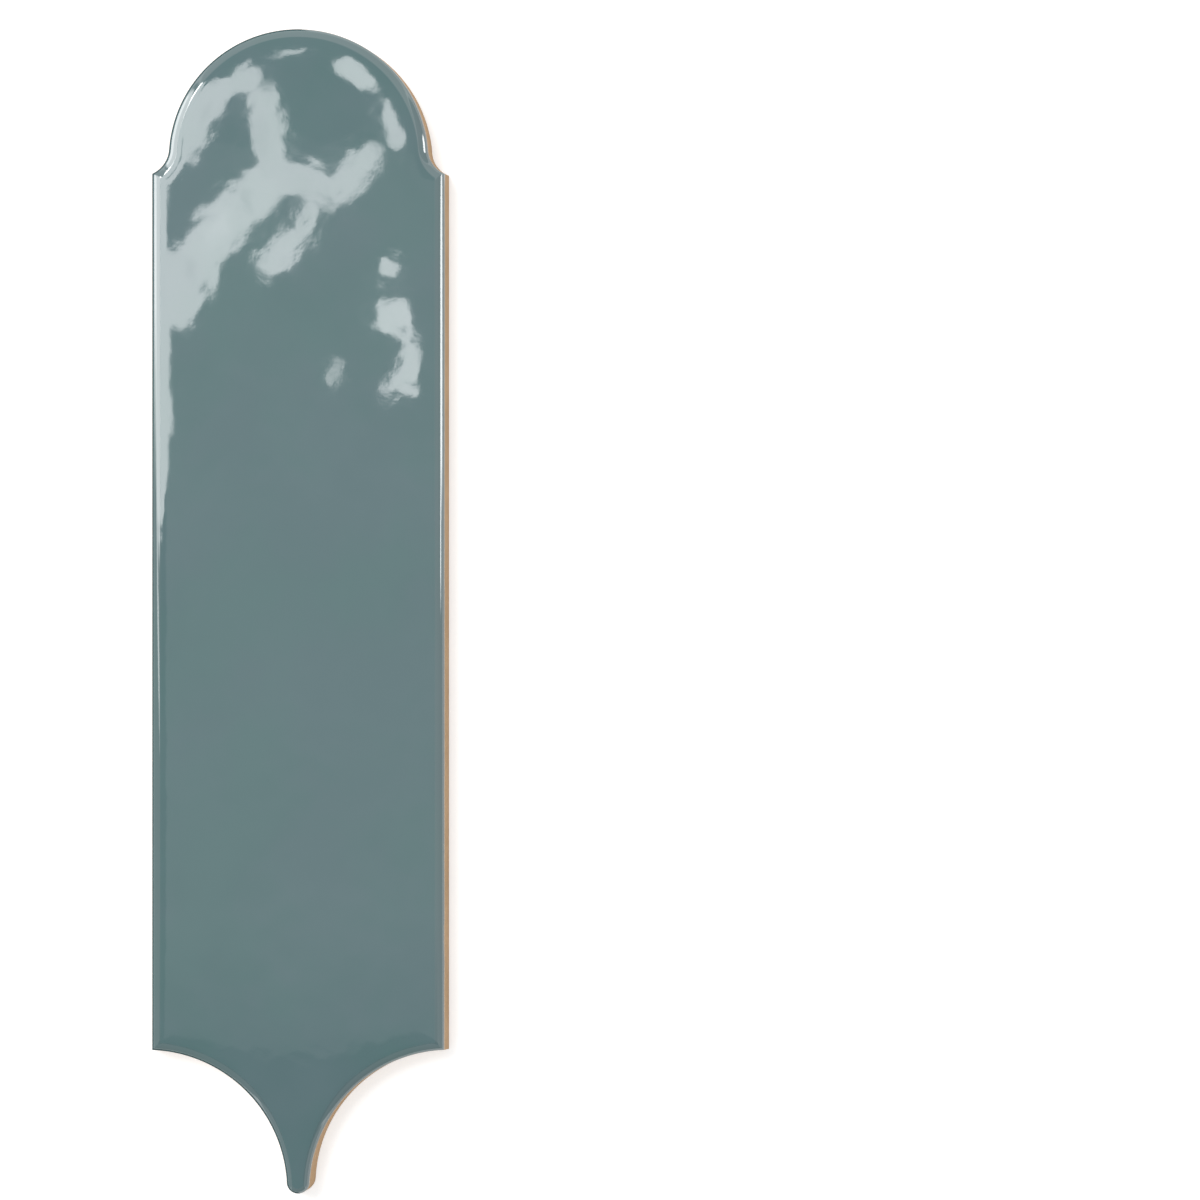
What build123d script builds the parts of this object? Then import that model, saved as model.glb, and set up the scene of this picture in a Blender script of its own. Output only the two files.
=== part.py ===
"""A feather-shaped glazed wall tile: one pressed and fired piece of clay with a rolled glossy face.

The tile lies on its back. +Y runs from the tail to the head, +X across the tile and +Z out of the
glazed face. The origin is on the back plane, under the middle of the tile's length and width.
"""

from build123d import *

import os
from math import atan2, degrees, radians, sin, cos, sqrt, tan

# Driving dimensions, in millimetres and degrees
TILE_WIDTH = 76.0  # across the straight sides, where they are widest
TILE_LENGTH = 298.0  # from the top of the head to the tip of the tail
TILE_THICKNESS = 9.0  # from the back plane to the glazed face
TAIL_WIDTH = 7.4  # across the tail where it is narrowest
TAIL_TIP_LIFT = 2.0  # the tip's centre stands this far above the centres of the scallops
GROUT_JOINT = 1.0  # between this tile and the tiles that nest round its head and tail
COVE_JOINT = 1.5  # under the tip of a tail that nests between two shoulders
COVE_RADIUS = 6.5  # of the hollow that leads from the head out to the shoulder
DRAFT_ANGLE = 7.0  # the walls lean in by this much towards the face
EDGE_ROLL_RADIUS = 2.5  # of the rolled edge round the face
ROLL_SHARE_OF_TIP = 0.85  # the roll takes at most this share of the tail's half width
BACK_CHAMFER = 0.4  # round the edge of the back
RIB_PITCH = 8.0  # from one keying groove of the back to the next
RIB_WIDTH = 3.0  # of the land left between two grooves
GROOVE_DEPTH = 0.8  # of the keying grooves
BACK_RIM = 6.0  # the plain border between the grooves and the outline
SHORTEST_GROOVE = 20.0  # no groove is shorter than this

# The outline: a round head, two scallops that take the neighbours' heads, and a tail between them
side_x = TILE_WIDTH / 2
axis_x = side_x + GROUT_JOINT / 2  # the middle of the joint beside the tile
head_radius = axis_x - GROUT_JOINT - TAIL_WIDTH / 2
scallop_radius = head_radius + GROUT_JOINT
tip_radius = sqrt(axis_x**2 + TAIL_TIP_LIFT**2) - scallop_radius
head_y = TILE_LENGTH / 2 - head_radius
tip_y = tip_radius - TILE_LENGTH / 2
scallop_y = tip_y - TAIL_TIP_LIFT
shoulder_y = head_y + TAIL_TIP_LIFT - tip_radius - COVE_JOINT

wall_inset = (TILE_THICKNESS - BACK_CHAMFER) * tan(radians(DRAFT_ANGLE))
roll_radius = min(EDGE_ROLL_RADIUS, ROLL_SHARE_OF_TIP * (tip_radius - wall_inset))


def cove_centre() -> Vector:
    """The centre of the right cove: a circle that touches the head and passes through the shoulder."""
    reach = head_radius + COVE_RADIUS
    shoulder = Vector(side_x, shoulder_y - head_y)
    # The two circles about the head's centre and about the shoulder cross on this line's two sides.
    along = (reach**2 - COVE_RADIUS**2 + shoulder.length**2) / (2 * shoulder.length)
    beside = sqrt(reach**2 - along**2)
    ahead = shoulder.normalized()
    left = Vector(-ahead.Y, ahead.X)
    return Vector(0, head_y) + ahead * along + left * beside


def arc(centre: Vector, radius: float, start: Vector, end: Vector) -> Edge:
    """The shorter arc of a circle between two points on it."""
    first = degrees(atan2(start.Y - centre.Y, start.X - centre.X))
    last = degrees(atan2(end.Y - centre.Y, end.X - centre.X))
    middle = first + ((last - first + 180) % 360 - 180) / 2
    on_arc = centre + Vector(cos(radians(middle)), sin(radians(middle))) * radius
    return ThreePointArc(start, on_arc, end).edge()


def tile_outline(inset: float) -> Face:
    """The tile's outline, moved inwards by inset all round."""
    side = side_x - inset
    head, tip = Vector(0, head_y), Vector(0, tip_y)
    scallop, cove = Vector(axis_x, scallop_y), cove_centre()

    top = head + Vector(0, head_radius - inset)
    neck = head + (cove - head).normalized() * (head_radius - inset)
    shoulder = Vector(side, cove.Y - sqrt((COVE_RADIUS + inset) ** 2 - (cove.X - side) ** 2))
    corner = Vector(side, scallop.Y + sqrt((scallop_radius + inset) ** 2 - (axis_x - side) ** 2))
    flank = tip + (scallop - tip).normalized() * (tip_radius - inset)
    end = tip - Vector(0, tip_radius - inset)

    right = [
        arc(head, head_radius - inset, top, neck),
        arc(cove, COVE_RADIUS + inset, neck, shoulder),
        Edge.make_line(shoulder, corner),
        arc(scallop, scallop_radius + inset, corner, flank),
        arc(tip, tip_radius - inset, flank, end),
    ]
    left = [edge.mirror(Plane.YZ) for edge in right]
    return Face(Wire(right + left))


def pressed_body() -> Part:
    """The solid tile: drafted walls from the back up to the face, and a rolled edge round the face."""
    back = tile_outline(BACK_CHAMFER)
    foot = Pos(0, 0, BACK_CHAMFER) * tile_outline(0)
    face = Pos(0, 0, TILE_THICKNESS) * tile_outline(wall_inset)
    body = Part() + loft([back, foot, face], ruled=True)
    face_edges = body.edges().group_by(Axis.Z)[-1]
    return fillet(face_edges, roll_radius)


def groove_field() -> Sketch:
    """The area of the back that holds grooves: the outline less a plain rim, without the tail."""
    half = side_x - BACK_RIM
    wing_top = shoulder_y - BACK_RIM
    wings = Pos(0, wing_top - TILE_LENGTH / 2) * Rectangle(2 * half, TILE_LENGTH)
    inner_head = head_radius - BACK_RIM
    neck_height = head_y - wing_top
    neck = Pos(0, wing_top + neck_height / 2) * Rectangle(2 * inner_head, neck_height)
    field = wings + neck + Pos(0, head_y) * Circle(inner_head)
    for side in (-1, 1):
        field -= Pos(side * axis_x, scallop_y) * Circle(scallop_radius + BACK_RIM)
    return field


def grooves() -> list:
    """The areas of the keying grooves: strips across the back, with a land between each two."""
    rows = GridLocations(TILE_WIDTH, RIB_PITCH, 1, 2 * int(TILE_LENGTH / 2 / RIB_PITCH) + 1)
    strips = [row * Rectangle(TILE_WIDTH, RIB_PITCH - RIB_WIDTH) for row in rows]
    areas = groove_field() & (Sketch() + strips)
    return [area for area in areas.faces() if area.bounding_box().size.X > SHORTEST_GROOVE]


def feather_tile() -> Part:
    """The finished tile, with its keying grooves pressed into the back."""
    return pressed_body() - [extrude(groove, GROOVE_DEPTH) for groove in grooves()]


os.makedirs("parts", exist_ok=True)
tile = feather_tile()
export_step(tile, "parts/feather_tile.step")
print("head radius", round(head_radius, 2), "scallop radius", round(scallop_radius, 2))
print("tip radius", round(tip_radius, 2), "edge roll", round(roll_radius, 2))
print("size", tile.bounding_box().size, "volume", round(tile.volume), "solids", len(tile.solids()))
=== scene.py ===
"""Dresses the feather tile: its glazed face, its bare clay, and the plain studio it is seen in.

One fired tile lies on its back. Lengths are in metres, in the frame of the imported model: +Y runs from
the tail to the round head, +X across the tile, and +Z out of the glazed face.
"""

import logging
from dataclasses import dataclass
from enum import Enum
from functools import cached_property
from math import atan2, hypot, pi, radians, sqrt, tan

import bpy
import numpy as np
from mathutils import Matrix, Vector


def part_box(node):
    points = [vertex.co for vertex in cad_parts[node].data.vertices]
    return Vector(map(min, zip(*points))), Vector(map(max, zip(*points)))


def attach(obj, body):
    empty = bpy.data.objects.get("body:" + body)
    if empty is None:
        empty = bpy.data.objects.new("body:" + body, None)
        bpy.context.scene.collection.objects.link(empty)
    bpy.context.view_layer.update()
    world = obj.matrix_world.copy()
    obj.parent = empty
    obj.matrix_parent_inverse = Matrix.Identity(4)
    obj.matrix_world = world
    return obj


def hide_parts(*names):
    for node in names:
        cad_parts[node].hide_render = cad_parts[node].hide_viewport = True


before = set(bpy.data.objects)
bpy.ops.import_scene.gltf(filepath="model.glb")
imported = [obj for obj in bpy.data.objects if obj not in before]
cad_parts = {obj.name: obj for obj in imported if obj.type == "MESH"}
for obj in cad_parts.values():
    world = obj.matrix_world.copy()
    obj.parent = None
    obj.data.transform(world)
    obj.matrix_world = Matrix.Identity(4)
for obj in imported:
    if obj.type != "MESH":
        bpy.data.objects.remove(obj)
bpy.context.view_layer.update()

MM = 0.001
NODE = "feather_tile"
log = logging.getLogger("feather_tile")


class Side(Enum):
    """Which side of its own centre an arc of the outline lies on."""

    RIGHT = 1
    LEFT = -1


@dataclass(frozen=True)
class TileOutline:
    """The outline of the tile as seen from above, which is the same on both sides of its length."""

    width: float
    length: float
    joint: float = 1.0 * MM
    tail_width: float = 7.4 * MM
    tip_lift: float = 2.0 * MM
    cove_joint: float = 1.5 * MM
    cove_radius: float = 6.5 * MM

    @property
    def side_x(self) -> float:
        """Half of the tile's width."""
        return self.width / 2

    @property
    def axis_x(self) -> float:
        """The middle of the joint beside the tile."""
        return self.side_x + self.joint / 2

    @property
    def head_radius(self) -> float:
        """The radius of the round head."""
        return self.axis_x - self.joint - self.tail_width / 2

    @property
    def scallop_radius(self) -> float:
        """The radius of a scallop, which takes the next tile's head and a joint."""
        return self.head_radius + self.joint

    @property
    def tip_radius(self) -> float:
        """The radius of the tail's tip, which touches both scallops."""
        return hypot(self.axis_x, self.tip_lift) - self.scallop_radius

    @property
    def head_y(self) -> float:
        """Where the head's centre lies along the tile."""
        return self.length / 2 - self.head_radius

    @property
    def tip_y(self) -> float:
        """Where the tip's centre lies along the tile."""
        return self.tip_radius - self.length / 2

    @property
    def scallop_y(self) -> float:
        """Where the scallops' centres lie along the tile."""
        return self.tip_y - self.tip_lift

    @property
    def shoulder_y(self) -> float:
        """Where the straight side starts, below the cove."""
        return self.head_y + self.tip_lift - self.tip_radius - self.cove_joint

    @property
    def cove_centre(self) -> tuple[float, float]:
        """The centre of the right cove: its circle touches the head and passes through the shoulder."""
        reach = self.head_radius + self.cove_radius
        across, up = self.side_x, self.shoulder_y - self.head_y
        span = hypot(across, up)
        along = (reach**2 - self.cove_radius**2 + span**2) / (2 * span)
        beside = sqrt(reach**2 - along**2)
        x = (across * along - up * beside) / span
        y = (up * along + across * beside) / span
        return x, self.head_y + y

    def depth(self, x: np.ndarray, y: np.ndarray) -> np.ndarray:
        """How far inside the outline each place lies: the least of its distances to the five stretches.

        Args:
            x: Places across the tile.
            y: Places along it.

        Returns:
            Distances to the nearest point of the outline, of the same shape as x.
        """
        right = np.abs(x)
        cove_x, cove_y = self.cove_centre
        side = self.side_x - right
        cove = np.hypot(right - cove_x, y - cove_y) - self.cove_radius
        scallop = np.hypot(right - self.axis_x, y - self.scallop_y) - self.scallop_radius
        head = self.head_radius - np.hypot(right, y - self.head_y)
        tip = self.tip_radius - np.hypot(right, y - self.tip_y)
        beside_head = (y - self.head_y) * cove_x > (cove_y - self.head_y) * right
        beside_tip = (y - self.tip_y) * self.axis_x < -self.tip_lift * right
        nearest = np.minimum(side, np.minimum(cove, scallop))
        nearest = np.where(beside_head, np.minimum(nearest, head), nearest)
        return np.where(beside_tip, np.minimum(nearest, tip), nearest)


@dataclass(frozen=True)
class Arc:
    """One round stretch of the outline's right half.

    grows is 1 where an inset makes the radius larger, as in a hollow, and -1 on a round outer corner.
    """

    centre: tuple[float, float]
    radius: float
    grows: int
    side: Side

    def radius_at(self, inset: np.ndarray) -> np.ndarray:
        """The radius of the arc moved into the tile by inset."""
        return self.radius + self.grows * inset

    def angle_at_y(self, y: np.ndarray, inset: np.ndarray) -> np.ndarray:
        """The angle, from +X, at which the arc moved in by inset reaches y."""
        rise = np.arcsin(np.clip((y - self.centre[1]) / self.radius_at(inset), -1, 1))
        return rise if self.side is Side.RIGHT else pi - rise

    def angle_at_x(self, x: np.ndarray, inset: np.ndarray, above: bool) -> np.ndarray:
        """The angle, from +X, at which the arc moved in by inset reaches x, above or below its centre."""
        turn = np.arccos(np.clip((x - self.centre[0]) / self.radius_at(inset), -1, 1))
        return turn if above else 2 * pi - turn

    def points(self, angle: np.ndarray, inset: np.ndarray) -> np.ndarray:
        """Points on the arc at those angles and insets, one row each."""
        radius = self.radius_at(inset)
        x = self.centre[0] + radius * np.cos(angle)
        y = self.centre[1] + radius * np.sin(angle)
        return np.column_stack((x, y))


class HalfRing:
    """Points down the right half of the outline, from the top of the head to the tip of the tail.

    The half has five stretches: head, cove, straight side, scallop and tip. A station is a stretch and a
    share of the way along it, so that every inset of the outline has the same stations.
    """

    STEPS = (0.8 * MM, 0.5 * MM, 0.85 * MM, 0.8 * MM, 0.3 * MM)  # between stations on each stretch
    END_GAP = 1e-3  # no level this near a stretch's end, as a share of it, gets a station of its own
    SCALLOP, TIP = 3, 4  # the numbers of those stretches

    def __init__(self, outline: TileOutline, base_inset: float, levels: np.ndarray) -> None:
        """Chooses the stations.

        Args:
            outline: The tile's outline.
            base_inset: The inset at which stations lie exactly on the levels.
            levels: Heights along Y at which there has to be a station.
        """
        o = outline
        cove_x, cove_y = o.cove_centre
        self.outline = o
        self.head = Arc((0.0, o.head_y), o.head_radius, -1, Side.RIGHT)
        self.cove = Arc((cove_x, cove_y), o.cove_radius, 1, Side.LEFT)
        self.scallop = Arc((o.axis_x, o.scallop_y), o.scallop_radius, 1, Side.LEFT)
        self.tip = Arc((0.0, o.tip_y), o.tip_radius, -1, Side.RIGHT)
        self.neck = atan2(cove_y - o.head_y, cove_x)
        self.flank = atan2(-o.tip_lift, o.axis_x)
        self.shares = [self._shares(k, base_inset, levels) for k in range(len(self.STEPS))]

    def _ends(self, k: int, inset: np.ndarray) -> tuple[np.ndarray, np.ndarray]:
        """Where stretch k starts and ends at that inset: angles on an arc, Y on the straight side."""
        side = self.outline.side_x - inset
        shoulder = self.cove.angle_at_x(side, inset, above=False)
        corner = self.scallop.angle_at_x(side, inset, above=True)
        shoulder_y = self.cove.points(shoulder, inset)[:, 1]
        corner_y = self.scallop.points(corner, inset)[:, 1]
        flat = np.zeros_like(inset)
        ends = (
            (flat + pi / 2, flat + self.neck),
            (flat + pi + self.neck, shoulder),
            (shoulder_y, corner_y),
            (corner, flat + pi + self.flank),
            (flat + self.flank, flat - pi / 2),
        )
        return ends[k]

    def _shares(self, k: int, base_inset: float, levels: np.ndarray) -> np.ndarray:
        """Shares of the way along stretch k: its ends, the levels on it, and even steps between them."""
        inset = np.array([base_inset])
        first, last = (end[0] for end in self._ends(k, inset))
        arc = (self.head, self.cove, None, self.scallop, self.tip)[k]
        marks = levels if arc is None else arc.angle_at_y(levels, inset)
        marks = (marks - first) / (last - first)
        if arc is not None:
            marks = marks[np.abs(levels - arc.centre[1]) < arc.radius_at(inset)]
        between = marks[(marks > self.END_GAP) & (marks < 1 - self.END_GAP)]
        fixed = np.unique(np.concatenate(([0.0], between, [1.0])))
        length = abs(last - first) * (1.0 if arc is None else arc.radius_at(inset)[0])
        counts = np.ceil(np.diff(fixed) * length / self.STEPS[k]).astype(int)
        runs = [np.linspace(a, b, n, endpoint=False) for a, b, n in zip(fixed, fixed[1:], counts)]
        return np.concatenate(runs)

    @property
    def stretch(self) -> np.ndarray:
        """The number of each station's stretch."""
        counts = [len(share) for share in self.shares]
        return np.append(np.repeat(np.arange(len(counts)), counts), len(counts) - 1)

    @property
    def share(self) -> np.ndarray:
        """How far along its stretch each station lies."""
        return np.append(np.concatenate(self.shares), 1.0)

    def points(self, inset: np.ndarray) -> np.ndarray:
        """The stations' places when the outline is moved into the tile.

        Args:
            inset: How far in, one value for each station.

        Returns:
            One row of x and y for each station, down the right half.
        """
        stretch, share = self.stretch, self.share
        arcs = (self.head, self.cove, None, self.scallop, self.tip)
        found = np.zeros((len(share), 2))
        for k, arc in enumerate(arcs):
            here = stretch == k
            first, last = self._ends(k, inset[here])
            place = first + (last - first) * share[here]
            if arc is None:
                found[here] = np.column_stack((self.outline.side_x - inset[here], place))
            else:
                found[here] = arc.points(place, inset[here])
        found[[0, -1], 0] = 0.0
        return found


@dataclass(frozen=True)
class Ripple:
    """A seeded sum of sine waves of random length, heading and phase, each as high as it is long."""

    height: float
    shortest: float
    longest: float
    seed: int
    waves: int = 30

    def at(self, x: np.ndarray, y: np.ndarray) -> np.ndarray:
        """The ripple's height at each place."""
        draw = np.random.default_rng(self.seed)
        length = draw.uniform(self.shortest, self.longest, self.waves)
        heading = draw.uniform(0, 2 * pi, self.waves)
        phase = draw.uniform(0, 2 * pi, self.waves)
        way = x[..., None] * np.cos(heading) + y[..., None] * np.sin(heading)
        wave = np.sin(way * (2 * pi / length) + phase) * (length / self.longest)
        return self.height * wave.sum(-1)


@dataclass(frozen=True)
class PouredFace:
    """The uneven top of the tile: two ripples and a slow fall to the edges."""

    ripples: tuple[Ripple, ...] = (
        Ripple(0.00044 * MM, 3.0 * MM, 10 * MM, 11),
        Ripple(0.00004 * MM, 1.5 * MM, 3.4 * MM, 5),
    )
    fall: float = 0.13 * MM
    fall_reach: float = 2.6 * MM

    def height(self, x: np.ndarray, y: np.ndarray, depth: np.ndarray) -> np.ndarray:
        """The ripples, less a fall that fades out with the distance from the edge.

        Args:
            x: Places across the tile.
            y: Places along it.
            depth: How far inside the outline they lie.

        Returns:
            Heights about the mean face, of the same shape as x.
        """
        rise = sum(ripple.at(x, y) for ripple in self.ripples)
        return rise - self.fall * np.exp(-depth / self.fall_reach)


@dataclass(frozen=True)
class EdgeRoll:
    """The rolled edge of the face, as a curve from the flat face to the top of the wall."""

    width: float = 3.4 * MM
    draft: float = radians(7.0)
    tightening: float = 2.0
    crowding: float = 0.8
    rings: int = 18
    samples: int = 2001

    def curve(self) -> tuple[np.ndarray, np.ndarray]:
        """The roll's section: its slope grows with a power of the way along it, up to the wall's lean.

        Out and down are the running sums of the slope's cosine and sine, scaled to the roll's width.

        Returns:
            How far out of the flat face, and how far below it, each ring lies, from the face outwards.
        """
        fine = np.linspace(0, 1, self.samples)
        slope = (pi / 2 - self.draft) * fine**self.tightening
        out = np.concatenate(([0], np.cumsum((np.cos(slope)[1:] + np.cos(slope)[:-1]) / 2)))
        down = np.concatenate(([0], np.cumsum((np.sin(slope)[1:] + np.sin(slope)[:-1]) / 2)))
        scale = self.width / out[-1]
        wanted = np.linspace(0, 1, self.rings + 1) ** self.crowding
        return np.interp(wanted, fine, out * scale), np.interp(wanted, fine, down * scale)


@dataclass(frozen=True)
class KeyedBack:
    """The back: a plain rim round a field of shallow grooves, which key the adhesive."""

    rim: float = 6.0 * MM
    pitch: float = 8.0 * MM
    land: float = 3.0 * MM
    depth: float = 0.8 * MM
    flank: float = 0.25 * MM
    shortest: float = 20.0 * MM
    columns: int = 10
    widest_share: float = 0.8
    floor_share: float = 0.6
    slack: float = 0.01 * MM

    def field_half_width(self, outline: TileOutline, y: np.ndarray) -> np.ndarray:
        """Half the width of the grooved field at y, from the rim inside each stretch of the outline."""
        o = outline
        head = np.sqrt(np.clip((o.head_radius - self.rim) ** 2 - (y - o.head_y) ** 2, 0, None))
        wings = np.full_like(y, o.side_x - self.rim)
        bowl = np.clip((o.scallop_radius + self.rim) ** 2 - (y - o.scallop_y) ** 2, 0, None)
        half = np.where(y > o.head_y, head, o.head_radius - self.rim)
        half = np.where(y < o.shoulder_y - self.rim, wings, half)
        return np.clip(np.minimum(half, o.axis_x - np.sqrt(bowl)), 0, None)

    def grooves(self, outline: TileOutline) -> np.ndarray:
        """The middles of the grooves along Y, without those that would be too short."""
        most = int(outline.length / 2 / self.pitch)
        middles = np.arange(-most, most + 1) * self.pitch
        reach = (self.pitch - self.land) / 2
        below = self.field_half_width(outline, middles - reach)
        above = self.field_half_width(outline, middles + reach)
        return middles[2 * np.maximum(below, above) > self.shortest]

    def levels(self, outline: TileOutline) -> np.ndarray:
        """The heights along Y at which a groove's flanks start and end."""
        reach = (self.pitch - self.land) / 2
        edges = np.array([-reach, self.flank - reach, reach - self.flank, reach])
        return (self.grooves(outline)[:, None] + edges).ravel()


@dataclass(frozen=True)
class FeatherTile:
    """The tile as one closed skin: face, rolled edge, leaning wall, chamfer and keyed back."""

    outline: TileOutline
    top: float
    chamfer: float = 0.4 * MM
    roll: EdgeRoll = EdgeRoll()
    back: KeyedBack = KeyedBack()
    face: PouredFace = PouredFace()
    face_columns: int = 100
    wall_rings: int = 6
    narrowest_share: float = 0.62
    full_width: float = 16 * MM
    lip_start: float = 0.34
    crease: float = radians(30)

    @cached_property
    def half(self) -> HalfRing:
        """The stations round the right half of the outline, with some at every groove's flanks."""
        return HalfRing(self.outline, self.chamfer, self.back.levels(self.outline))

    def _narrowing(self) -> np.ndarray:
        """How much narrower the roll is at each station: less down the scallops, where the tail is slim."""
        plain = self.half.points(np.zeros(len(self.half.share)))[:, 0]
        slim = np.clip(plain / self.full_width, 0, 1)
        slim = self.narrowest_share + (1 - self.narrowest_share) * slim * slim * (3 - 2 * slim)
        on_scallop = self.half.stretch == HalfRing.SCALLOP
        at_flank = slim[on_scallop][-1]
        return np.where(on_scallop, slim, np.where(self.half.stretch == HalfRing.TIP, at_flank, 1.0))

    def _sections(self) -> list[tuple[np.ndarray, np.ndarray]]:
        """The rings of the skin, from the face's rim over the roll and down the wall to the back.

        Returns:
            For each ring, the insets of its stations and their heights.
        """
        narrow = self._narrowing()
        level = np.ones_like(narrow)
        out, down = self.roll.curve()
        wall_top = self.top - down[-1]
        wall_inset = (wall_top - self.chamfer) * tan(self.roll.draft)
        rings = []
        for reach, drop in zip(out, down):
            rings.append((wall_inset + (out[-1] - reach) * narrow, level * (self.top - drop)))
        for share in np.linspace(0, 1, self.wall_rings + 1)[1:]:
            height = wall_top + (self.chamfer - wall_top) * share
            rings.append((level * (wall_inset * (1 - share)), level * height))
        rings.append((level * self.chamfer, level * 0))
        return rings

    @staticmethod
    def _all_round(half: np.ndarray, mirror: tuple[float, ...] | float = 1) -> np.ndarray:
        """The half's values down the right side, then back up the left one, where mirror turns them."""
        return np.concatenate((half, half[-2:0:-1] * mirror))

    def _settled(
        self, place: np.ndarray, depth: np.ndarray, level: np.ndarray, highest: float
    ) -> np.ndarray:
        """Lowers places by the poured face's relief, by a share that fades down the roll to the wall.

        Args:
            place: Rows of x and y.
            depth: How far inside the outline each place lies.
            level: Its height on a smooth tile.
            highest: The relief's highest point, which stands at the tile's full height.

        Returns:
            Rows of x, y and z.
        """
        share = np.clip(1 - (self.top - level) / self.roll.curve()[1][-1], 0, 1)
        relief = highest - self.face.height(place[:, 0], place[:, 1], depth)
        return np.column_stack((place, level - share * relief))

    def build(self) -> bpy.types.Object:
        """Makes the closed mesh and its object.

        Returns:
            The tile, standing at the origin with its place in its mesh.
        """
        half = self.half
        count = len(half.share)
        around = 2 * (count - 1)
        rings = self._sections()
        rim = half.points(rings[0][0])
        spread = np.linspace(-1, 1, self.face_columns + 1)[1:-1]
        inner_x = np.outer(rim[1:-1, 0], spread).ravel()
        inner_y = np.repeat(rim[1:-1, 1], len(spread))
        deep = self.outline.depth(inner_x, inner_y)
        highest = self.face.height(inner_x, inner_y, deep).max()

        points = []
        for inset, height in rings:
            place = self._all_round(half.points(inset), (-1, 1))
            points.append(self._settled(place, self._all_round(inset), self._all_round(height), highest))
        inner = np.column_stack((inner_x, inner_y))
        points.append(self._settled(inner, deep, np.full(len(inner), self.top), highest))
        back, columns = self._back_points(half.points(np.full(count, self.chamfer)))
        points.append(back)

        faces = []
        ids = np.arange(around)
        ahead = np.roll(ids, -1)
        for r in range(len(rings) - 1):
            this, below = ids + r * around, ids + (r + 1) * around
            faces.append(np.column_stack((below, this, this[ahead], below[ahead])))
        face_start = len(rings) * around
        back_start = face_start + len(inner)
        faces += self._sheet_faces(0, face_start, count, len(spread), upwards=True)
        faces += self._sheet_faces(face_start - around, back_start, count, columns, upwards=False)

        out = self.roll.curve()[0]
        on_lip = np.append(out / out[-1] > self.lip_start, np.ones(len(rings) - len(out)))
        lip = np.zeros(back_start + len(back))
        lip[:face_start] = np.repeat(on_lip, around)
        return self._object(np.concatenate(points), faces, lip)

    @staticmethod
    def dress(tile: bpy.types.Object) -> None:
        """Gives the tile its glaze and clay."""
        tile.data.materials.append(TileFinish().material())

    def _back_points(self, rim: np.ndarray) -> tuple[np.ndarray, int]:
        """The vertices of the back inside its rim: a column at each groove end, and even ones between.

        Args:
            rim: The stations of the back's outermost ring.

        Returns:
            The vertices, row by row, and how many there are in a row.
        """
        back = self.back
        y, edge_x = rim[1:-1, 1], rim[1:-1, 0]
        field_x = np.minimum(back.field_half_width(self.outline, y), back.widest_share * edge_x)
        floor_x = np.maximum(field_x - back.flank, back.floor_share * field_x)
        even = np.linspace(-1, 1, back.columns)
        x = np.column_stack((-field_x, np.outer(floor_x, even), field_x))
        reach = (back.pitch - back.land) / 2 - back.flank
        off = np.abs(y[:, None] - back.grooves(self.outline)).min(1)
        deep = off < reach + back.slack
        z = np.zeros_like(x)
        z[deep, 1:-1] = back.depth
        return np.column_stack((x.ravel(), np.repeat(y, x.shape[1]), z.ravel())), x.shape[1]

    @staticmethod
    def _sheet_faces(ring: int, start: int, count: int, columns: int, upwards: bool) -> list[np.ndarray]:
        """The faces of a sheet that fills a ring: rows of quads, closed by fans at the head and the tip.

        Args:
            ring: The number of the ring's first vertex.
            start: The number of the sheet's first own vertex.
            count: How many stations the half ring has.
            columns: How many vertices each row has between the ring's two sides.
            upwards: Whether the faces look up.

        Returns:
            Arrays of vertex numbers, the quads first.
        """
        rows = np.arange(1, count - 1)
        own = start + np.arange(len(rows) * columns).reshape(len(rows), columns)
        left, right = ring + 2 * (count - 1) - rows, ring + rows
        grid = np.column_stack((left, own, right))
        quads = np.stack((grid[:-1, :-1], grid[1:, :-1], grid[1:, 1:], grid[:-1, 1:]), -1).reshape(-1, 4)
        first = np.full(grid.shape[1] - 1, ring)
        top = np.column_stack((first, grid[0, :-1], grid[0, 1:]))
        end = np.column_stack((grid[-1, :-1], first + count - 1, grid[-1, 1:]))
        found = [quads, top, end]
        return found if upwards else [part[:, ::-1] for part in found]

    def _object(self, points: np.ndarray, faces: list[np.ndarray], lip: np.ndarray) -> bpy.types.Object:
        """Puts vertices and faces into a smooth mesh whose chamfer and groove edges stay crisp.

        Args:
            points: The vertices.
            faces: Arrays of vertex numbers.
            lip: 1 for each vertex on the steep part of the roll and below it, and 0 on the face.

        Returns:
            The tile.
        """
        mesh = bpy.data.meshes.new("glazed_tile")
        mesh.from_pydata(points.tolist(), [], [row for part in faces for row in part.tolist()])
        mesh.attributes.new("lip", "FLOAT", "POINT").data.foreach_set("value", lip)
        mesh.validate()
        mesh.shade_smooth()
        mesh.set_sharp_from_angle(angle=self.crease)
        tile = bpy.data.objects.new("glazed_tile", mesh)
        bpy.context.scene.collection.objects.link(tile)
        return tile


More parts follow.
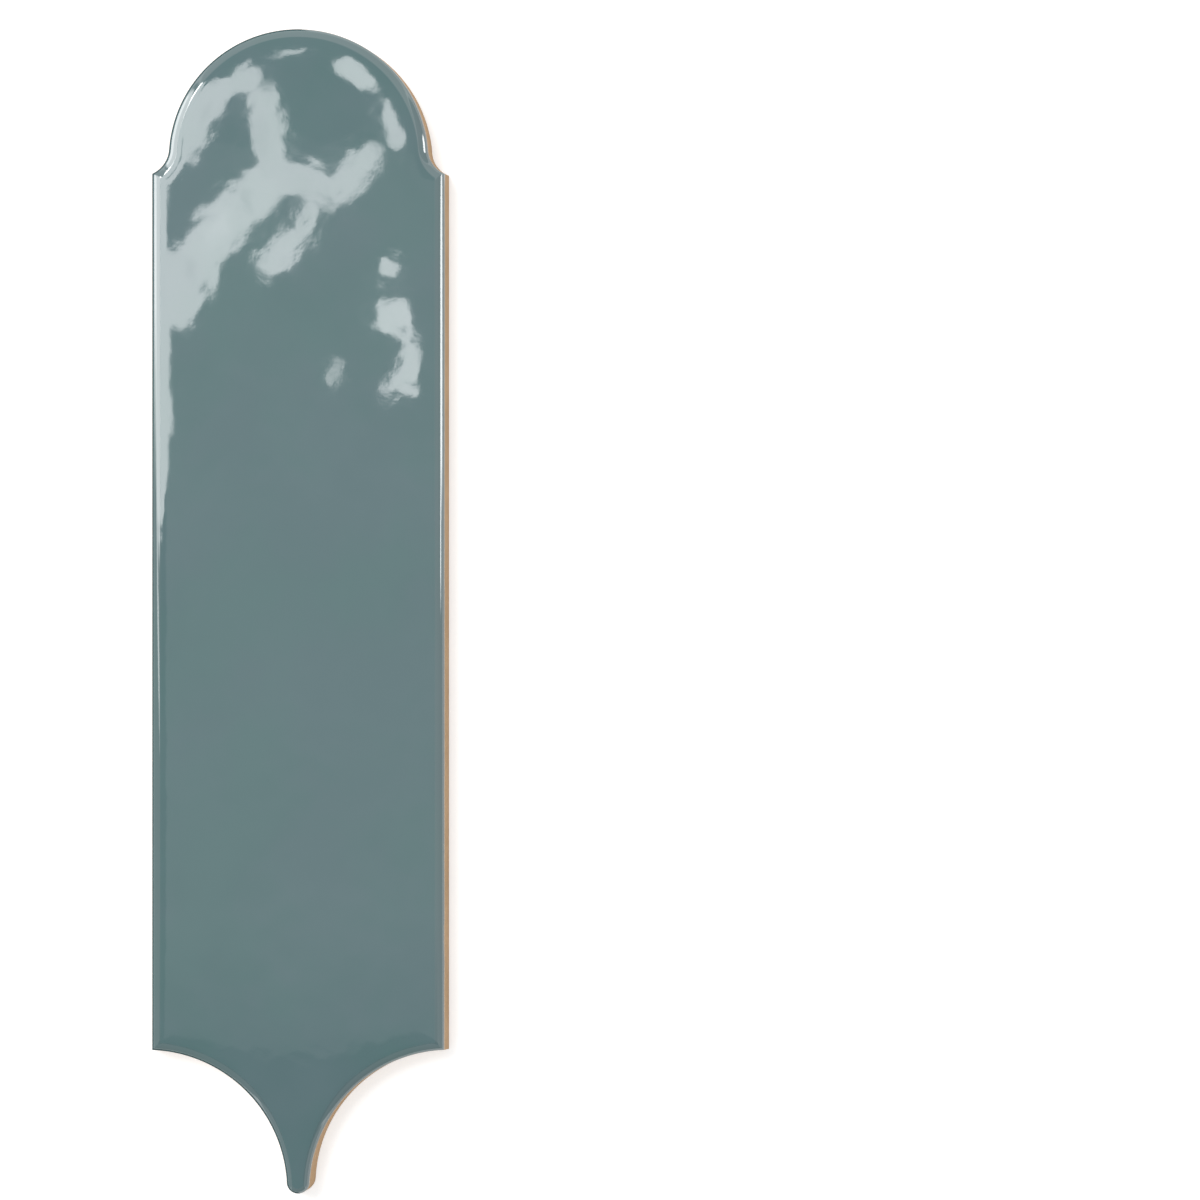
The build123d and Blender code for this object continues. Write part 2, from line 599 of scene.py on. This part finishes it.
class Wire:
    """A node's output that can stand in a sum like a number."""

    def __init__(self, sheet: "NodeSheet", socket: bpy.types.NodeSocket) -> None:
        """Wraps a socket of a node sheet."""
        self.sheet = sheet
        self.socket = socket

    def _math(self, operation: str, first: object, second: object) -> "Wire":
        """The result of a Math node on two values."""
        return self.sheet.add("ShaderNodeMath", {"operation": operation}, {0: first, 1: second})

    def __add__(self, other: object) -> "Wire":
        """self + other."""
        return self._math("ADD", self, other)

    __radd__ = __add__

    def __mul__(self, other: object) -> "Wire":
        """self * other."""
        return self._math("MULTIPLY", self, other)

    __rmul__ = __mul__

    def __sub__(self, other: object) -> "Wire":
        """self - other."""
        return self._math("SUBTRACT", self, other)

    def __rsub__(self, other: object) -> "Wire":
        """other - self."""
        return self._math("SUBTRACT", other, self)

    def most(self, other: object) -> "Wire":
        """The larger of the two."""
        return self._math("MAXIMUM", self, other)


@dataclass(frozen=True)
class Grain:
    """A noise pattern: its scale is counted per metre, and low and high bound the step between patches."""

    scale: float
    detail: float = 3.0
    roughness: float = 0.5
    low: float = 0.3
    high: float = 0.7


class NodeSheet:
    """A node tree, and the one method that adds a node to it."""

    MIX_FIRST, MIX_SECOND, MIX_RESULT = 6, 7, 2  # a Mix node's sockets for colours

    def __init__(self, tree: bpy.types.NodeTree) -> None:
        """Starts from an empty tree."""
        self.tree = tree
        tree.nodes.clear()

    def add(
        self,
        kind: str,
        settings: dict[str, object] | None = None,
        inputs: dict[int | str, object] | None = None,
        out: int | str = 0,
    ) -> Wire:
        """Adds a node.

        Args:
            kind: The node's type name.
            settings: Its own settings, set first.
            inputs: Values or wires for its sockets, by name or number.
            out: The output to return, by name or number.

        Returns:
            The chosen output, or an empty wire from a node that has none.
        """
        node = self.tree.nodes.new(kind)
        for name, value in (settings or {}).items():
            setattr(node, name, value)
        for name, value in (inputs or {}).items():
            if isinstance(value, Wire):
                self.tree.links.new(value.socket, node.inputs[name])
            else:
                node.inputs[name].default_value = value
        return Wire(self, node.outputs[out] if len(node.outputs) else None)

    def step(self, value: Wire, start: float, end: float) -> Wire:
        """A smooth step from 0 at start to 1 at end."""
        settings = {"interpolation_type": "SMOOTHSTEP"}
        inputs = {"Value": value, "From Min": start, "From Max": end}
        return self.add("ShaderNodeMapRange", settings, inputs)

    def axis(self, at: Wire, name: str) -> Wire:
        """One coordinate of a place."""
        return self.add("ShaderNodeSeparateXYZ", None, {0: at}, name)

    def noise(self, at: Wire, grain: Grain) -> Wire:
        """Smooth noise about 0.5."""
        inputs = {"Vector": at, "Scale": grain.scale, "Detail": grain.detail, "Roughness": grain.roughness}
        return self.add("ShaderNodeTexNoise", None, inputs)

    def patches(self, at: Wire, grain: Grain) -> Wire:
        """The noise as patches of 0 and 1 with smooth borders."""
        return self.step(self.noise(at, grain), grain.low, grain.high)

    def blend(self, share: Wire, first: object, second: object) -> Wire:
        """Mixes two colours, the second by share."""
        inputs = {"Factor": share, self.MIX_FIRST: first, self.MIX_SECOND: second}
        return self.add("ShaderNodeMix", {"data_type": "RGBA"}, inputs, self.MIX_RESULT)


def rgb(red: float, green: float, blue: float) -> tuple[float, float, float, float]:
    """A colour in display values from 0 to 255, as the linear values that the display curve stands for."""
    linear = []
    for value in (red, green, blue):
        share = value / 255
        linear.append(share / 12.92 if share <= 0.04045 else ((share + 0.055) / 1.055) ** 2.4)
    return (*linear, 1.0)


@dataclass(frozen=True)
class TileFinish:
    """Glossy blue-grey green glaze on buff clay, with a thin pale break where the glaze runs out."""

    glaze: tuple = rgb(92, 121, 122)
    glaze_cool: tuple = rgb(97, 121, 125)
    glaze_deep: tuple = rgb(84, 113, 115)
    break_colour: tuple = rgb(228, 214, 190)
    clay: tuple = rgb(216, 180, 140)
    clay_dark: tuple = rgb(198, 162, 122)
    glaze_line: float = 6.5 * MM
    glaze_lean: float = 0.004
    line_blur: float = 0.15 * MM
    line_wander: float = 1.2 * MM
    break_height: float = 0.9 * MM
    gloss: float = 0.025
    glaze_index: float = 1.5
    lip_index: float = 2.2
    lip_low: float = 0.3
    lip_high: float = 0.7
    clay_roughness: float = 0.85
    clay_relief: float = 0.10 * MM
    glaze_relief: float = 0.0026 * MM
    shade_share: float = 0.25
    patch_share: float = 0.5
    grit_share: float = 0.3
    wander: Grain = Grain(120.0)
    cloud: Grain = Grain(28.0, 3.0, 0.6, 0.35, 0.65)
    shade: Grain = Grain(60.0, 2.0)
    patch: Grain = Grain(90.0)
    grit: Grain = Grain(2500.0, 3.0, 0.7, 0.45, 0.75)
    pores: Grain = Grain(1400.0, 4.0, 0.65)
    peel: Grain = Grain(300.0, 3.0, 0.55)

    def material(self) -> bpy.types.Material:
        """Makes the tile's material: glaze above a wavering line round the wall, and clay below it."""
        material = bpy.data.materials.new("glaze_on_clay")
        material.use_nodes = True
        sheet = NodeSheet(material.node_tree)
        at = sheet.add("ShaderNodeTexCoord", out="Object")
        wander = (sheet.noise(at, self.wander) - 0.5) * self.line_wander
        line = sheet.axis(at, "Z") + wander + sheet.axis(at, "Y") * self.glaze_lean
        glazed = sheet.step(line, self.glaze_line - self.line_blur, self.glaze_line + self.line_blur)
        full = sheet.step(line, self.glaze_line, self.glaze_line + self.break_height)

        glaze = sheet.blend(sheet.patches(at, self.cloud), self.glaze, self.glaze_cool)
        glaze = sheet.blend(sheet.patches(at, self.shade) * self.shade_share, glaze, self.glaze_deep)
        glaze = sheet.blend(full, self.break_colour, glaze)
        patch = sheet.patches(at, self.patch) * self.patch_share
        darker = patch + sheet.patches(at, self.grit) * self.grit_share
        clay = sheet.blend(darker, self.clay, self.clay_dark)

        pores = (1 - glazed) * sheet.noise(at, self.pores) * self.clay_relief
        relief = pores + glazed * sheet.noise(at, self.peel) * self.glaze_relief
        bump = {"Height": relief, "Strength": 1.0, "Distance": 1.0}
        lip = sheet.add("ShaderNodeAttribute", {"attribute_name": "lip"}, out="Fac")
        look = {
            "Base Color": sheet.blend(glazed, clay, glaze),
            "Roughness": glazed * (self.gloss - self.clay_roughness) + self.clay_roughness,
            "Normal": sheet.add("ShaderNodeBump", None, bump),
            "IOR": self.glaze_index,
            "Coat Weight": sheet.step(lip, self.lip_low, self.lip_high) * glazed,
            "Coat IOR": self.lip_index,
            "Coat Roughness": self.gloss,
        }
        surface = sheet.add("ShaderNodeBsdfPrincipled", None, look)
        sheet.add("ShaderNodeOutputMaterial", None, {"Surface": surface})
        return material


@dataclass(frozen=True)
class SkyLight:
    """The one soft lamp that lights the tile and the floor; the glaze doesn't mirror it."""

    place: tuple[float, float, float] = (-0.75, 0.75, 1.6)
    turn: tuple[float, float, float] = (33.5, 0.0, -135.0)
    side: float = 0.9
    radiance: float = 6.7

    def build(self) -> bpy.types.Object:
        """Makes the lamp; its power is its radiance times its area times pi."""
        lamp = bpy.data.lights.new("sky", "AREA")
        lamp.shape = "SQUARE"
        lamp.size = self.side
        lamp.energy = self.radiance * self.side**2 * pi
        holder = bpy.data.objects.new("sky", lamp)
        holder.location = self.place
        holder.rotation_euler = [radians(angle) for angle in self.turn]
        holder.visible_glossy = False
        bpy.context.scene.collection.objects.link(holder)
        return holder


@dataclass(frozen=True)
class GlowCard:
    """A glowing card with soft edges that only shows in the glaze: part of the window, or a wall.

    half holds half its length and width, soft is the share of them over which it fades out, and square
    makes its outline rounder at 2 and squarer above.
    """

    name: str
    place: tuple[float, float, float]
    half: tuple[float, float]
    radiance: float
    soft: float
    square: float
    turn: tuple[float, float, float] = (0.0, 0.0, 0.0)

    SPOKES = 72

    def _points(self) -> np.ndarray:
        """The card's middle and two rings, at (|cos a|^n + |sin a|^n)^(-1/n) of half at the angle a."""
        angle = np.linspace(0, 2 * pi, self.SPOKES, endpoint=False)
        c, s = np.cos(angle), np.sin(angle)
        reach = (np.abs(c) ** self.square + np.abs(s) ** self.square) ** (-1 / self.square)
        rim = np.column_stack((self.half[0] * reach * c, self.half[1] * reach * s, np.zeros_like(c)))
        return np.concatenate((np.zeros((1, 3)), rim * (1 - self.soft), rim))

    def build(self, material: bpy.types.Material) -> bpy.types.Object:
        """Makes the card.

        Args:
            material: The glow that reads the card's share and radiance.

        Returns:
            The card, turned and put in its place.
        """
        ring = 1 + np.arange(self.SPOKES)
        ahead = np.roll(ring, -1)
        fan = np.column_stack((np.zeros_like(ring), ring, ahead))
        band = np.column_stack((ring, ring + self.SPOKES, ahead + self.SPOKES, ahead))
        points = self._points()
        mesh = bpy.data.meshes.new(self.name)
        mesh.from_pydata(points.tolist(), [], fan.tolist() + band.tolist())
        share = np.ones(len(points))
        share[1 + self.SPOKES :] = 0.0
        mesh.attributes.new("share", "FLOAT", "POINT").data.foreach_set("value", share)
        radiance = np.full(len(points), self.radiance)
        mesh.attributes.new("radiance", "FLOAT", "POINT").data.foreach_set("value", radiance)
        mesh.materials.append(material)
        card = bpy.data.objects.new(self.name, mesh)
        card.location = self.place
        card.rotation_euler = [radians(angle) for angle in self.turn]
        show_in_glaze_only(card)
        return card

    @staticmethod
    def glow() -> bpy.types.Material:
        """Makes the cards' material: light where the share is 1, and clear where it is 0."""
        material = bpy.data.materials.new("card_glow")
        material.use_nodes = True
        sheet = NodeSheet(material.node_tree)
        share = sheet.add("ShaderNodeAttribute", {"attribute_name": "share"}, out="Fac")
        radiance = sheet.add("ShaderNodeAttribute", {"attribute_name": "radiance"}, out="Fac")
        light = sheet.add("ShaderNodeEmission", None, {"Strength": radiance})
        clear = sheet.add("ShaderNodeBsdfTransparent")
        both = sheet.add("ShaderNodeMixShader", None, {0: share, 1: clear, 2: light})
        sheet.add("ShaderNodeOutputMaterial", None, {"Surface": both})
        material.cycles.emission_sampling = "NONE"
        return material


def show_in_glaze_only(thing: bpy.types.Object) -> None:
    """Links an object to the scene so that it lights nothing, shades nothing and only shows mirrored."""
    bpy.context.scene.collection.objects.link(thing)
    thing.visible_camera = False
    thing.visible_diffuse = False
    thing.visible_transmission = False
    thing.visible_volume_scatter = False
    thing.visible_shadow = False


@dataclass(frozen=True)
class WindowPane:
    """A bright patch of the window overhead, given by where a level face would mirror it to the camera."""

    name: str
    x: float
    y: float
    along: float
    across: float
    turn: float
    radiance: float = 9.4
    soft: float = 0.25
    square: float = 4.0

    def card(self, camera: tuple[float, float, float], face: float, height: float) -> GlowCard:
        """The patch at its real place: the mirror's image, seen from the camera, carried up to its height.

        Args:
            camera: The camera's place.
            face: The height of the mirroring face.
            height: The height of the patch.

        Returns:
            The card that shows as this patch.
        """
        reach = (height - face) / (camera[2] - face)
        place = [(1 + reach) * at - reach * eye for at, eye in zip((self.x, self.y), camera)]
        half = ((1 + reach) * self.along, (1 + reach) * self.across)
        turn = (0.0, 0.0, self.turn)
        return GlowCard(self.name, (*place, height), half, self.radiance, self.soft, self.square, turn)


# Each pane: name, x, y, half its length, half its width, turn in degrees, radiance, soft, square.
WINDOW = (
    WindowPane("veil_link", -8.6 * MM, 121.0 * MM, 7.0 * MM, 2.2 * MM, 95, 8.2, 0.95, 2),
    WindowPane("veil_band", -13.0 * MM, 104.0 * MM, 2.6 * MM, 4.6 * MM, 20, 8.0, 0.95, 2),
    WindowPane("veil_low", -27.5 * MM, 87.0 * MM, 4.0 * MM, 5.0 * MM, 30, 8.3, 0.95, 2),
    WindowPane("gleam_band", -20.0 * MM, 98.0 * MM, 7.0 * MM, 3.6 * MM, 70, 11.0, 0.95, 2),
    WindowPane("gleam_flank", -26.0 * MM, 128.0 * MM, 3.2 * MM, 6.0 * MM, -30, 8.2, 0.95, 2),
    WindowPane("left_low", -114.0 * MM, 57.0 * MM, 77.5 * MM, 37.0 * MM, 0, 9.2, 0.04, 4),
    WindowPane("left_middle", -118.6 * MM, 104.0 * MM, 78.2 * MM, 20.0 * MM, 0, 9.2, 0.04, 10),
    WindowPane("left_high", -125.0 * MM, 134.0 * MM, 84.0 * MM, 26.0 * MM, 0, 9.2, 0.05, 5),
    WindowPane("left_slant", -144.0 * MM, 181.0 * MM, 102.0 * MM, 42.0 * MM, -38.6, 9.2, 0.04, 8),
    WindowPane("band_foot", -38.0 * MM, 82.0 * MM, 11.5 * MM, 10.5 * MM, 0, 9.3, 0.15, 4),
    WindowPane("flank_low", -39.5 * MM, 114.2 * MM, 8.0 * MM, 4.4 * MM, 52, 9.2, 0.18, 3.5),
    WindowPane("flank", -34.0 * MM, 130.5 * MM, 12.6 * MM, 14.6 * MM, 56, 9.2, 0.12, 4.5),
    WindowPane("crown", -19.3 * MM, 135.3 * MM, 11.0 * MM, 4.5 * MM, 4, 9.0, 0.2, 4),
    WindowPane("spike", -16.2 * MM, 140.5 * MM, 2.4 * MM, 4.8 * MM, 12, 8.6, 0.5, 2.5),
    WindowPane("link", -7.6 * MM, 122.0 * MM, 13.5 * MM, 4.9 * MM, 100, 9.2),
    WindowPane("band_upper", -18.4 * MM, 98.6 * MM, 19.5 * MM, 6.8 * MM, 45, 9.8, 0.2, 5),
    WindowPane("band_lower", -31.6 * MM, 82.6 * MM, 10.5 * MM, 9.0 * MM, 57, 9.4, 0.15, 5),
    WindowPane("arm_start", 0.0 * MM, 109.6 * MM, 9.0 * MM, 4.8 * MM, -4, 9.2),
    WindowPane("arm_end", 13.8 * MM, 111.0 * MM, 11.6 * MM, 4.6 * MM, 46, 9.4, 0.25, 3.5),
    WindowPane("lobe_neck", 2.8 * MM, 99.8 * MM, 6.8 * MM, 3.4 * MM, 76, 9.4, 0.3, 3.5),
    WindowPane("lobe", -4.3 * MM, 91.0 * MM, 8.8 * MM, 4.2 * MM, 48, 9.8, 0.25, 3.5),
    WindowPane("head_top", -2.0 * MM, 146.2 * MM, 7.2 * MM, 2.8 * MM, 8, 8.0, 0.6, 2.2),
    WindowPane("head_right", 17.4 * MM, 139.4 * MM, 7.6 * MM, 6.0 * MM, -42, 9.6, 0.2, 3),
    WindowPane("head_side", 26.7 * MM, 124.8 * MM, 8.0 * MM, 5.2 * MM, 107, 9.2, 0.25, 2.8),
    WindowPane("island_top", 23.4 * MM, 87.0 * MM, 3.5 * MM, 3.5 * MM, 0, 10.0, 0.25, 3.5),
    WindowPane("island_middle", 25.2 * MM, 75.2 * MM, 6.6 * MM, 5.0 * MM, 12, 10.4, 0.2, 2.8),
    WindowPane("island_neck", 28.8 * MM, 70.2 * MM, 2.4 * MM, 4.4 * MM, 0, 9.8, 0.3, 3),
    WindowPane("island_low", 30.6 * MM, 62.4 * MM, 8.2 * MM, 5.4 * MM, 72, 10.0, 0.25, 2.8),
    WindowPane("island_foot", 25.0 * MM, 57.8 * MM, 5.2 * MM, 2.8 * MM, 45, 9.6, 0.3, 2.8),
    WindowPane("speck", 9.4 * MM, 60.4 * MM, 4.6 * MM, 2.0 * MM, 75, 7.4, 0.7, 2.2),
    WindowPane("dark_side", 0.0 * MM, -370.0 * MM, 620.0 * MM, 290.0 * MM, 0, 0.1, 0.25, 4),
)

# The walls stand round the tile: bright ones low beside it, and dim ones for the rest of the room.
WALLS = (
    GlowCard("left_bright", (-1.0, 0.49, 0.45), (0.42, 0.42), 3.75, 0.3, 5, (90, 0, -90)),
    GlowCard("left_wall", (-1.02, 0.49, 1.55), (0.46, 0.97), 2.65, 0.10, 7, (90, 0, -90)),
    GlowCard("left_strip", (-1.06, -0.035, 1.55), (0.062, 0.85), 2.15, 0.6, 3, (90, 8.3, -90)),
    GlowCard("right_bright", (1.0, 0.175, 0.32), (0.125, 0.34), 4.6, 0.3, 4, (90, 0, 90)),
    GlowCard("right_low", (1.02, 0.045, 0.50), (0.055, 0.17), 4.5, 0.5, 3, (90, 0, 90)),
    GlowCard("far_wall", (0.0, 1.3, 3.6), (1.3, 3.6), 0.60, 0.05, 8, (90, 0, 180)),
    GlowCard("right_gleam", (1.02, 0.42, 0.37), (0.10, 0.32), 5.3, 0.4, 3, (90, 0, 90)),
    GlowCard("near_wall", (0.0, -1.3, 3.6), (1.3, 3.6), 0.25, 0.05, 8, (90, 0, 0)),
    GlowCard("left_room", (-1.3, 0.0, 3.6), (1.3, 3.6), 0.34, 0.05, 8, (90, 0, -90)),
    GlowCard("right_room", (1.3, 0.0, 3.6), (1.3, 3.6), 0.42, 0.05, 8, (90, 0, 90)),
)


SEEN_RAYS = ("Is Camera Ray", "Is Glossy Ray", "Is Transmission Ray")


@dataclass(frozen=True)
class Studio:
    """The floor, the glowing cards that the glaze mirrors, the world and the camera."""

    camera_place: tuple[float, float, float] = (76.8 * MM, 2.9 * MM, 700 * MM)
    framed: float = 308.6 * MM
    sensor: float = 36.0
    floor_span: float = 3.0
    floor_drop: float = 0.1 * MM
    floor_colour: tuple = (0.85, 0.85, 0.85, 1.0)
    floor_lift: float = 0.45
    fill: float = 0.62
    window_height: float = 2.4
    pane_gap: float = 2 * MM
    shade_margin: float = 0.2
    shade_left: tuple = rgb(20, 20, 20)
    shade_right: tuple = rgb(222, 222, 222)

    def floor(self) -> bpy.types.Object:
        """A wide level sheet just under the tile, white to the eye, which keeps the tile's shadow."""
        half = self.floor_span / 2
        corners = [(-half, -half), (half, -half), (half, half), (-half, half)]
        mesh = bpy.data.meshes.new("floor")
        mesh.from_pydata([(x, y, -self.floor_drop) for x, y in corners], [], [(0, 1, 2, 3)])
        floor = bpy.data.objects.new("floor", mesh)
        bpy.context.scene.collection.objects.link(floor)
        material = bpy.data.materials.new("floor_white")
        material.use_nodes = True
        sheet = NodeSheet(material.node_tree)
        seen = self._seen(sheet)
        paint = sheet.add("ShaderNodeBsdfDiffuse", None, {"Color": self.floor_colour})
        lift = sheet.add("ShaderNodeEmission", None, {"Strength": seen * self.floor_lift})
        both = sheet.add("ShaderNodeAddShader", None, {0: paint, 1: lift})
        sheet.add("ShaderNodeOutputMaterial", None, {"Surface": both})
        mesh.materials.append(material)
        return floor

    def mirrored(self, low: np.ndarray, high: np.ndarray) -> int:
        """What the glaze mirrors besides the white surround: the window, the walls, and dull floor cards.

        Args:
            low: The tile's lowest corner.
            high: Its highest corner.

        Returns:
            How many cards there are.
        """
        glow = GlowCard.glow()
        heights = self.window_height + self.pane_gap * np.arange(len(WINDOW))
        panes = [pane.card(self.camera_place, high[2], height) for pane, height in zip(WINDOW, heights)]
        for card in (*panes, *WALLS):
            card.build(glow)
        margin = self.shade_margin
        bottom, top = low[1] - margin, high[1] + margin
        self._floor_card("dark_floor", (low[0] - margin, 0.0), (bottom, top), self.shade_left)
        self._floor_card("grey_floor", (0.0, high[0] + margin), (bottom, top), self.shade_right)
        return len(panes) + len(WALLS)

    def _floor_card(
        self, name: str, across: tuple[float, float], along: tuple[float, float], colour: tuple
    ) -> None:
        """Makes a dull card on the floor, which draws the dark line along the rolled edge above it.

        Args:
            name: The card's name.
            across: Where it starts and ends across the tile.
            along: Where it starts and ends along it.
            colour: Its colour.
        """
        (x0, x1), (y0, y1) = across, along
        level = -self.floor_drop / 2
        corners = [(x0, y0, level), (x1, y0, level), (x1, y1, level), (x0, y1, level)]
        mesh = bpy.data.meshes.new(name)
        mesh.from_pydata(corners, [], [(0, 1, 2, 3)])
        material = bpy.data.materials.new(name)
        material.use_nodes = True
        sheet = NodeSheet(material.node_tree)
        dull = sheet.add("ShaderNodeBsdfDiffuse", None, {"Color": colour})
        sheet.add("ShaderNodeOutputMaterial", None, {"Surface": dull})
        mesh.materials.append(material)
        show_in_glaze_only(bpy.data.objects.new(name, mesh))

    @staticmethod
    def _seen(sheet: NodeSheet) -> Wire:
        """1 for rays that show what is seen, straight or mirrored, and 0 for rays that only light."""
        straight, mirrored, through = (sheet.add("ShaderNodeLightPath", out=ray) for ray in SEEN_RAYS)
        return straight.most(mirrored).most(through)

    def world(self) -> None:
        """A white surround to the eye and in reflections, and a plain fill light."""
        world = bpy.data.worlds.new("studio")
        world.use_nodes = True
        sheet = NodeSheet(world.node_tree)
        strength = self._seen(sheet) * (1 - self.fill) + self.fill
        glow = sheet.add("ShaderNodeBackground", None, {"Color": (1, 1, 1, 1), "Strength": strength})
        sheet.add("ShaderNodeOutputWorld", None, {"Surface": glow})
        bpy.context.scene.world = world

    def camera(self) -> bpy.types.Object:
        """A camera that looks straight down, with the head at the top of the picture."""
        lens = bpy.data.cameras.new("camera")
        lens.sensor_width = self.sensor
        lens.lens = self.sensor * self.camera_place[2] / self.framed
        camera = bpy.data.objects.new("camera", lens)
        camera.location = self.camera_place
        bpy.context.scene.collection.objects.link(camera)
        bpy.context.scene.camera = camera
        return camera


def main() -> None:
    """Builds the tile and the studio."""
    logging.basicConfig(level=logging.INFO, format="%(message)s")
    bpy.context.scene.view_settings.view_transform = "Standard"

    low, high = (np.array(corner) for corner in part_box(NODE))
    studio = Studio()
    studio.camera()
    studio.world()
    studio.floor()
    log.info("lamp %s", SkyLight().build().name)
    log.info("window and walls of %d cards", studio.mirrored(low, high))

    outline = TileOutline(width=high[0] - low[0], length=high[1] - low[1])
    maker = FeatherTile(outline, top=high[2])
    tile = maker.build()
    maker.dress(tile)
    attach(tile, "root")
    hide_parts(NODE)
    log.info("piece %s with %d faces", tile.name, len(tile.data.polygons))


if __name__ == "__main__":
    main()
